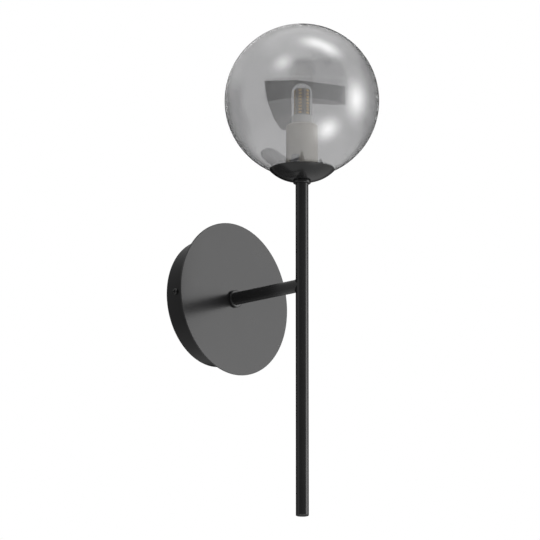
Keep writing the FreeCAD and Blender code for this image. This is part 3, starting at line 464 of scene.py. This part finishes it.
# --- Stem -------------------------------------------------------------------
# One straight 10 mm tube with a plug pressed flush into its lower end.
STEM_BOTTOM, STEM_TOP = stem_low.z / MM, stem_high.z / MM
END_CHAMFER = 0.4
stem = lathe("stem_wall", [
    [(TUBE_BORE, STEM_BOTTOM)],
    [(TUBE_RADIUS - END_CHAMFER, STEM_BOTTOM)],
    arc((TUBE_RADIUS - END_CHAMFER, STEM_BOTTOM + END_CHAMFER), END_CHAMFER, -80, 0, 5),
    [(TUBE_RADIUS, STEM_TOP)], [(TUBE_BORE, STEM_TOP)]], STEM_AXIS, "up", TUBE_SECTORS, black)
stands_for(stem, "stem_tube")
nodes["stem_end_plug"].data.materials[0] = black


# --- Dish -------------------------------------------------------------------
# Spun steel dish, 0.6 mm: flat where the nut clamps it, then one arc up to a thin
# rim, whose cut edge is broken to a half round.
dish_low, dish_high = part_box("dish")
DISH_RADIUS, DISH_FLAT, DISH_WALL, DISH_CURVE = dish_high.x / MM, 8.0, 0.6, 29.0
DISH_BOTTOM, DISH_RIM = dish_low.z / MM, dish_high.z / MM
DISH_STEPS = 48


def dish_profile():
    """Outer arc of DISH_CURVE through the flat's edge and the rim, its parallel inside, and
    a half-round edge between them: centre (cr, cz) is the apothem away from the chord."""
    span = np.array([DISH_RADIUS - DISH_FLAT, DISH_RIM - DISH_BOTTOM])
    chord = np.hypot(*span)
    apothem = math.sqrt(DISH_CURVE ** 2 - chord ** 2 / 4)
    centre = (np.array([DISH_FLAT, DISH_BOTTOM]) + span / 2
              + apothem / chord * np.array([-span[1], span[0]]))
    start = math.degrees(math.atan2(DISH_BOTTOM - centre[1], DISH_FLAT - centre[0]))
    end = math.degrees(math.atan2(DISH_RIM - DISH_WALL / 2 - centre[1], DISH_RADIUS - centre[0]))
    inner_height = (centre[1] - DISH_BOTTOM - DISH_WALL) / (DISH_CURVE - DISH_WALL)
    inner_start = -90 + math.degrees(math.acos(inner_height))
    lip = centre + (DISH_CURVE - DISH_WALL / 2) * np.array([math.cos(math.radians(end)),
                                                            math.sin(math.radians(end))])
    return [[(COLLAR_BORE, DISH_BOTTOM)], arc(centre, DISH_CURVE, start, end, DISH_STEPS),
            arc(lip, DISH_WALL / 2, end + 15, end + 165, 7),
            arc(centre, DISH_CURVE - DISH_WALL, end, inner_start, DISH_STEPS),
            [(COLLAR_BORE, DISH_BOTTOM + DISH_WALL)]]


dish = lathe("dish_shell", dish_profile(), STEM_AXIS, "up", 160, black)
stands_for(dish, "dish")


# --- Globe ------------------------------------------------------------------
# Blown glass ball, 1.8 mm thick, smoke coloured and half mirrored by a thin
# metal film; its round mouth has a fire-polished lip.
GLOBE_CENTRE = globe_middle.z / MM
GLOBE_OUTSIDE = GLOBE_RADIUS / MM
GLOBE_WALL, LIP_RADIUS, MOUTH_RADIUS = 1.8, 0.95, 17.0
GLOBE_STEPS, LIP_MARGIN = 120, 0.6
lip_circle = MOUTH_RADIUS + LIP_RADIUS
middle_radius = GLOBE_OUTSIDE - GLOBE_WALL / 2
lip_angle = math.degrees(math.asin(lip_circle / middle_radius))
lip_height = GLOBE_CENTRE - middle_radius * math.cos(math.radians(lip_angle))


def globe_glass():
    """Smoke glass shell; the clear coat's high index stands for the metal film."""
    made, tree, shader, place = finish("half_mirrored_smoke_glass", (0.59, 0.59, 0.594), 0.0)
    shader.inputs["Transmission Weight"].default_value = 1.0
    shader.inputs["IOR"].default_value = 1.45
    shader.inputs["Coat Weight"].default_value = 1.0
    shader.inputs["Coat Roughness"].default_value = 0.0
    shader.inputs["Coat IOR"].default_value = 2.0
    cloud = speckle(tree, place, 18, 2)
    tree.links.new(two_tone(tree, cloud, (0.575, 0.575, 0.58), (0.605, 0.605, 0.608)),
                   shader.inputs["Base Color"])
    relief(tree, shader, speckle(tree, place, 22, 0), 0.00003)
    return made


globe = lathe("globe_shade_glass", [
    arc((0, GLOBE_CENTRE), GLOBE_OUTSIDE, lip_angle - 90 + LIP_MARGIN, 90, GLOBE_STEPS),
    arc((0, GLOBE_CENTRE), GLOBE_OUTSIDE - GLOBE_WALL, 90, lip_angle - 90 + LIP_MARGIN, GLOBE_STEPS),
    arc((lip_circle, lip_height), LIP_RADIUS, 100 + lip_angle, 260 + lip_angle, 11)],
    STEM_AXIS, "up", 256, globe_glass())
stands_for(globe, "globe", "globe_shade")
globe.visible_shadow = False


# --- Lampholder -------------------------------------------------------------
# Unglazed steatite body: warm white, faintly grainy, a little darker in patches at random.
# Its colour is set well below that white, partly painted shade for the smoked globe, which casts no shadow
# here.
def steatite():
    made, tree, shader, place = finish("steatite", (0.5, 0.475, 0.43), 0.62, specular=0.4)
    cloud, grain = speckle(tree, place, 120, 4), speckle(tree, place, 2600, 2)
    tree.links.new(two_tone(tree, cloud, (0.46, 0.435, 0.39), (0.54, 0.515, 0.47)),
                   shader.inputs["Base Color"])
    tree.links.new(spread(tree, grain, 0.5, 0.75), shader.inputs["Roughness"])
    relief(tree, shader, grain, 0.00002)
    return made


nodes["lampholder_body"].data.materials[0] = steatite()


# --- Plated steel: bracket, nuts, washers, screws, pins -------------------------
# Zinc plated steel for the fixings, darker spring steel for clip and contacts, and
# turned brass for the sleeves of the terminal block.
def plated_steel(name, color, roughness):
    """Rolled or turned steel with a bright zinc layer: streaks along one way and fine spangle."""
    made, tree, shader, place = finish(name, color, roughness, metallic=1.0)
    stretched = node_of(tree, "ShaderNodeMapping", Vector=place, Scale=(60, 900, 900)).outputs[0]
    streak = speckle(tree, stretched, 1.0, 3)
    spangle = speckle(tree, place, 400, 2)
    dark = tuple(channel * 0.82 for channel in color)
    tree.links.new(two_tone(tree, spangle, dark, color), shader.inputs["Base Color"])
    tree.links.new(spread(tree, streak, roughness - 0.08, roughness + 0.12), shader.inputs["Roughness"])
    relief(tree, shader, streak, 0.00001)
    return made


zinc = plated_steel("zinc_plate", (0.62, 0.63, 0.64), 0.34)
spring = plated_steel("spring_steel", (0.3, 0.3, 0.31), 0.3)
for name in ("wall_bracket", "arm_washer", "arm_nut", "stem_washer", "stem_nut", "lampholder_base",
             "lampholder_screws", "terminal_fixing_screw", "terminal_screws", "earth_screw", "earth_tag",
             "lamp_pins"):
    nodes[name].data.materials[0] = zinc
for name in ("globe_clip", "lampholder_contacts"):
    nodes[name].data.materials[0] = spring
nodes["terminal_sleeves"].data.materials[0] = plated_steel("turned_brass", (0.72, 0.55, 0.26), 0.28)


# --- Moulded and extruded plastics ----------------------------------------------
# Nylon block, sleeved leads, silicone ring, and the lamp's base, board and chips,
# each in its own colour and gloss.
def moulding(name, color, roughness):
    """Moulded plastic: even colour with slight clouding and a fine spark-eroded skin."""
    made, tree, shader, place = finish(name, color, roughness)
    cloud, skin = speckle(tree, place, 90, 3), speckle(tree, place, 3000, 1)
    lighter = tuple(min(channel * 1.08, 1) for channel in color)
    tree.links.new(two_tone(tree, cloud, color, lighter), shader.inputs["Base Color"])
    tree.links.new(spread(tree, skin, roughness - 0.06, roughness + 0.06), shader.inputs["Roughness"])
    relief(tree, shader, skin, 0.00001)
    return made


for name, look in {"terminal_block": moulding("nylon", (0.80, 0.80, 0.76), 0.45),
                   "live_lead": moulding("brown_sleeving", (0.16, 0.07, 0.035), 0.5),
                   "neutral_lead": moulding("blue_sleeving", (0.03, 0.12, 0.42), 0.5),
                   "earth_lead": moulding("green_sleeving", (0.16, 0.42, 0.05), 0.5),
                   "globe_gasket": moulding("silicone", (0.6, 0.6, 0.59), 0.6),
                   "lamp_base": moulding("lamp_moulding", (0.50, 0.50, 0.49), 0.35),
                   "lamp_board": moulding("board_resist", (0.20, 0.19, 0.17), 0.5),
                   "lamp_chips": moulding("phosphor", (0.72, 0.50, 0.22), 0.4)}.items():
    nodes[name].data.materials[0] = look


# --- Lamp cover ---------------------------------------------------------------
# Clear domed tube over the board, 0.8 mm thick.
cover_low, cover_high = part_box("lamp_cover")
COVER_RADIUS = (cover_high.x - cover_low.x) / 2 / MM
COVER_WALL = 0.8
cover_dome = cover_high.z / MM - COVER_RADIUS


def clear_cover():
    made, tree, shader, place = finish("clear_cover", (0.96, 0.965, 0.97), 0.02)
    shader.inputs["Transmission Weight"].default_value = 1.0
    shader.inputs["IOR"].default_value = 1.47
    relief(tree, shader, speckle(tree, place, 90, 0), 0.00002)
    return made


cover = lathe("lamp_cover_glass", [
    [(COVER_RADIUS, cover_low.z / MM)],
    arc((0, cover_dome), COVER_RADIUS, 0, 90, 30),
    arc((0, cover_dome), COVER_RADIUS - COVER_WALL, 90, 0, 30),
    [(COVER_RADIUS - COVER_WALL, cover_low.z / MM)]], STEM_AXIS, "up", TUBE_SECTORS, clear_cover())
stands_for(cover, "lamp_cover", "lamp")
cover.visible_shadow = False
